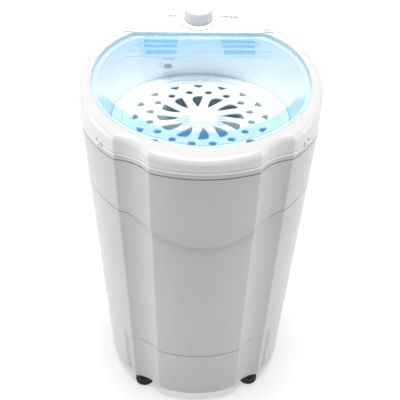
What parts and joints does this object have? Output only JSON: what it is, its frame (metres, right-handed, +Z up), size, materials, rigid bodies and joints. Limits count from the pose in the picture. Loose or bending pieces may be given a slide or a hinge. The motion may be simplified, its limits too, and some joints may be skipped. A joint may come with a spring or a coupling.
{
  "type": "top load washing machine",
  "caption": "Compact portable top-load washer: fluted tapered case on rubber feet, slanted cover with timer knob, clear hinged lid over a spin basket with a pierced disc.",
  "frame": {"origin": "centre of the footprint on the floor", "axes": "+Z up, front at -Y, +X to the right seen from the front"},
  "size_m": [0.3796, 0.3796, 0.6193],
  "materials": {
    "white_plastic": "satin gloss",
    "basket_plastic": "satin gloss",
    "tub_plastic": "satin",
    "black_plastic": "matt",
    "foot_rubber": "matt",
    "seal_rubber": "matt",
    "steel": "bright",
    "plated_sheet": "zinc plated",
    "cast_alloy": "as cast",
    "clear_blue": "clear tinted gloss"
  },
  "bodies": {
    "cabinet": {"outer_case": "white_plastic", "base_pan": "tub_plastic", "foot_front_left": "foot_rubber", "foot_front_right": "foot_rubber", "foot_back_left": "foot_rubber", "foot_back_right": "foot_rubber", "foot_screws": "steel", "foot_nuts": "steel", "cable_gland": "black_plastic", "spring_seats": "seal_rubber", "suspension_springs": "steel", "motor_plate": "plated_sheet", "motor_housing": "plated_sheet", "motor_bearing_low": "steel", "motor_bearing_high": "steel", "motor_stator": "steel", "brake_post": "steel", "capacitor": "black_plastic", "capacitor_clip": "steel", "tub": "tub_plastic", "drain_spout": "tub_plastic", "shaft_seal": "seal_rubber", "tub_gasket": "seal_rubber", "top_cover": "white_plastic", "dial_plate": "white_plastic", "timer_movement": "black_plastic", "cover_screws": "steel", "rinse_spout": "white_plastic", "lid_switch": "black_plastic"},
    "spinner": {"spin_basket": "tub_plastic", "balance_ring": "basket_plastic", "basket_hub": "cast_alloy", "hub_nut": "steel", "wash_cone": "tub_plastic", "drive_shaft": "steel", "motor_rotor": "steel", "brake_drum": "cast_alloy"},
    "basket_cover": {"basket_cover": "basket_plastic"},
    "lid": {"lid": "clear_blue", "lid_hinge_pins": "steel"},
    "timer_knob": {"timer_knob": "white_plastic", "timer_spindle": "steel"},
    "brake_lever": {"brake_lever": "plated_sheet"},
    "lid_switch_lever": {"lid_switch_lever": "black_plastic"}
  },
  "joints": [
    {"name": "lid_hinge", "type": "hinge", "parent": "cabinet", "child": "lid", "pos_m": [0, 0.1245, 0.58852], "axis": [-1, 0, 0], "range_deg": [0, 110]},
    {"name": "knob_turn", "type": "hinge", "parent": "cabinet", "child": "timer_knob", "pos_m": [0, 0.163, 0.59452], "axis": [0, 0.1663, -0.9861], "range_deg": [0, 300]},
    {"name": "basket_spin", "type": "hinge", "parent": "cabinet", "child": "spinner", "pos_m": [0, 0, 0.15], "axis": [0, 0, 1], "continuous": true},
    {"name": "basket_cover_lift", "type": "slide", "parent": "spinner", "child": "basket_cover", "axis": [0, 0, 1], "range_m": [0, 0.03]},
    {"name": "brake_lever_pivot", "type": "hinge", "parent": "cabinet", "child": "brake_lever", "pos_m": [0.048, -0.03, 0.131], "axis": [0, 0, 1], "range_deg": [0, 7]},
    {"name": "switch_lever_pivot", "type": "hinge", "parent": "cabinet", "child": "lid_switch_lever", "pos_m": [0.06, 0.14, 0.566], "axis": [-1, 0, 0], "range_deg": [0, 17]}
  ],
  "couplings": [
    {"joint": "brake_lever_pivot", "follows": "lid_hinge", "ratio": 0.055},
    {"joint": "switch_lever_pivot", "follows": "lid_hinge", "ratio": 0.14}
  ]
}
